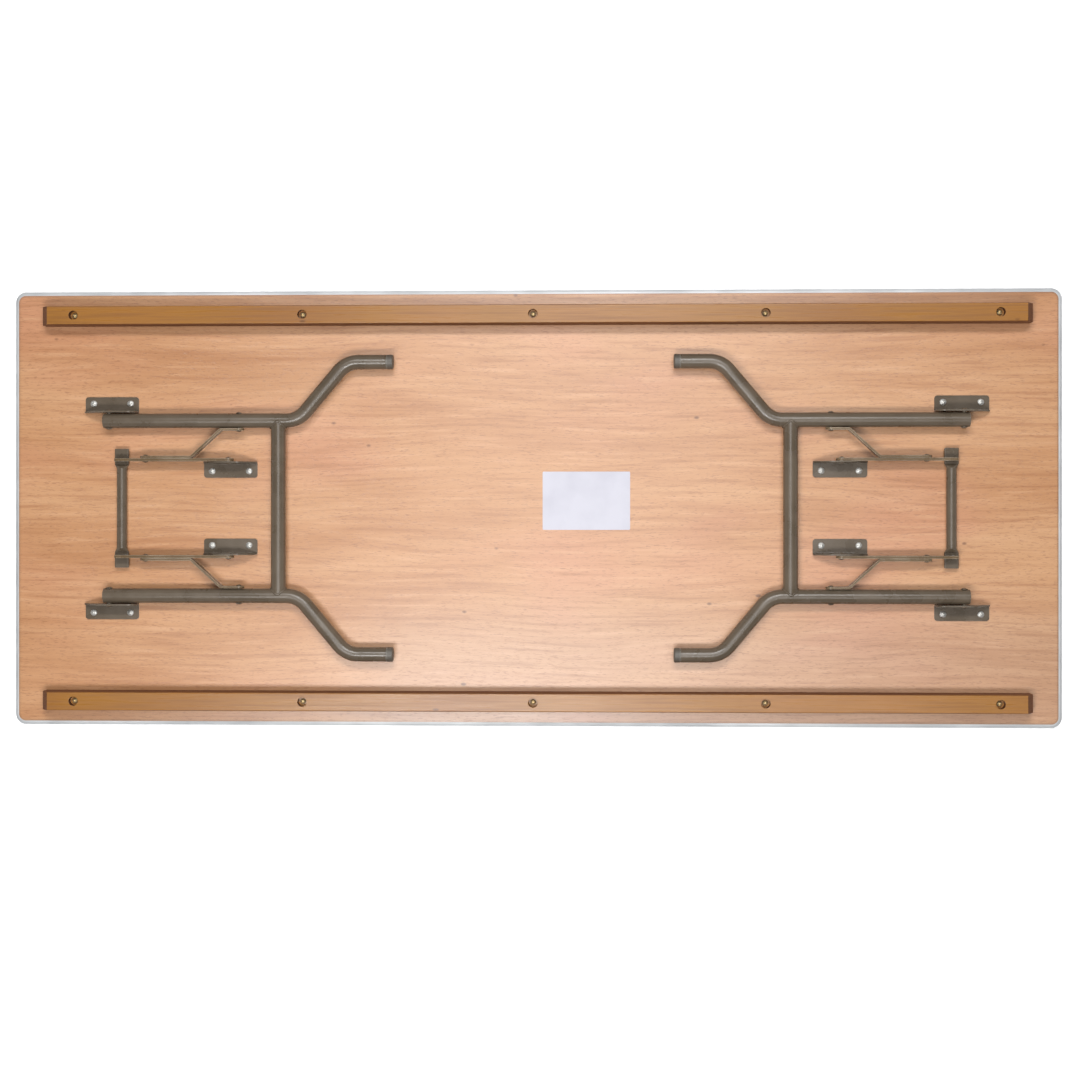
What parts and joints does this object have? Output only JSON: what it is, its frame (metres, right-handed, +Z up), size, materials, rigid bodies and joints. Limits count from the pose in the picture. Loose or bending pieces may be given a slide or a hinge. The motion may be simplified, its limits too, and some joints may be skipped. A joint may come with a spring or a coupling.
{
  "type": "folding table",
  "caption": "Low rectangular plywood folding table, underside up: rounded aluminium edge, stacking runners and hinged wishbone leg frames with over-centre locking braces.",
  "frame": {"origin": "centre of the dining face, on the floor under the table as it lies face down", "axes": "+X along the table, +Y across it, +Z up out of the underside that carries the leg frames"},
  "size_m": [1.829, 0.762, 0.057],
  "materials": {
    "plywood": "clear satin lacquer on beech-faced plywood",
    "runner_wood": "clear satin lacquer on hardwood",
    "edge_aluminium": "bright mill finish",
    "leg_paint": "satin grey-taupe paint on steel",
    "zinc_steel": "bright zinc plate",
    "foot_nylon": "grey moulded nylon",
    "blank_label": "blank white adhesive label"
  },
  "bodies": {
    "tabletop": {"table_top": "plywood", "edge_moulding": "edge_aluminium", "runner_front": "runner_wood", "runner_back": "runner_wood", "runner_screws": "zinc_steel", "bracket_screws": "zinc_steel", "hinge_pins": "leg_paint", "brace_rivets": "leg_paint", "hinge_bracket_left_front": "leg_paint", "brace_bracket_left_front": "leg_paint", "hinge_bracket_left_back": "leg_paint", "brace_bracket_left_back": "leg_paint", "hinge_bracket_right_front": "leg_paint", "brace_bracket_right_front": "leg_paint", "hinge_bracket_right_back": "leg_paint", "brace_bracket_right_back": "leg_paint"},
    "left_leg_frame": {"cross_tube_left": "leg_paint", "leg_rivets_left": "leg_paint", "leg_tube_left_front": "leg_paint", "foot_cap_left_front": "foot_nylon", "leg_tube_left_back": "leg_paint", "foot_cap_left_back": "foot_nylon"},
    "left_upper_brace": {"lock_bar_left": "leg_paint", "elbow_rivets_left": "leg_paint", "brace_arm_left_front": "leg_paint", "brace_arm_left_back": "leg_paint"},
    "left_front_link": {"lower_link_left_front": "leg_paint", "link_rivet_left_front": "leg_paint"},
    "left_back_link": {"lower_link_left_back": "leg_paint", "link_rivet_left_back": "leg_paint"},
    "right_leg_frame": {"cross_tube_right": "leg_paint", "leg_rivets_right": "leg_paint", "leg_tube_right_front": "leg_paint", "foot_cap_right_front": "foot_nylon", "leg_tube_right_back": "leg_paint", "foot_cap_right_back": "foot_nylon"},
    "right_upper_brace": {"lock_bar_right": "leg_paint", "elbow_rivets_right": "leg_paint", "brace_arm_right_front": "leg_paint", "brace_arm_right_back": "leg_paint"},
    "right_front_link": {"lower_link_right_front": "leg_paint", "link_rivet_right_front": "leg_paint"},
    "right_back_link": {"lower_link_right_back": "leg_paint", "link_rivet_right_back": "leg_paint"}
  },
  "joints": [
    {"name": "left_leg_fold", "type": "hinge", "parent": "tabletop", "child": "left_leg_frame", "pos_m": [-0.741, 0, 0.041], "axis": [0, -1, 0], "range_deg": [0, 90]},
    {"name": "left_brace_swing", "type": "hinge", "parent": "tabletop", "child": "left_upper_brace", "pos_m": [-0.5315, 0, 0.041], "axis": [0, 1, 0], "range_deg": [0, 47.43]},
    {"name": "left_front_link_swing", "type": "hinge", "parent": "left_leg_frame", "child": "left_front_link", "pos_m": [-0.513, -0.1372, 0.041], "axis": [0, -1, 0], "range_deg": [0, 42.58]},
    {"name": "left_back_link_swing", "type": "hinge", "parent": "left_leg_frame", "child": "left_back_link", "pos_m": [-0.513, 0.1372, 0.041], "axis": [0, -1, 0], "range_deg": [0, 42.58]},
    {"name": "right_leg_fold", "type": "hinge", "parent": "tabletop", "child": "right_leg_frame", "pos_m": [0.741, 0, 0.041], "axis": [0, 1, 0], "range_deg": [0, 90]},
    {"name": "right_brace_swing", "type": "hinge", "parent": "tabletop", "child": "right_upper_brace", "pos_m": [0.5315, 0, 0.041], "axis": [0, -1, 0], "range_deg": [0, 47.43]},
    {"name": "right_front_link_swing", "type": "hinge", "parent": "right_leg_frame", "child": "right_front_link", "pos_m": [0.513, -0.1372, 0.041], "axis": [0, 1, 0], "range_deg": [0, 42.58]},
    {"name": "right_back_link_swing", "type": "hinge", "parent": "right_leg_frame", "child": "right_back_link", "pos_m": [0.513, 0.1372, 0.041], "axis": [0, 1, 0], "range_deg": [0, 42.58]}
  ],
  "couplings": [
    {"joint": "left_brace_swing", "follows": "left_leg_fold", "ratio": 0.5269},
    {"joint": "left_front_link_swing", "follows": "left_leg_fold", "ratio": 0.4731},
    {"joint": "left_back_link_swing", "follows": "left_leg_fold", "ratio": 0.4731},
    {"joint": "right_brace_swing", "follows": "right_leg_fold", "ratio": 0.5269},
    {"joint": "right_front_link_swing", "follows": "right_leg_fold", "ratio": 0.4731},
    {"joint": "right_back_link_swing", "follows": "right_leg_fold", "ratio": 0.4731}
  ]
}
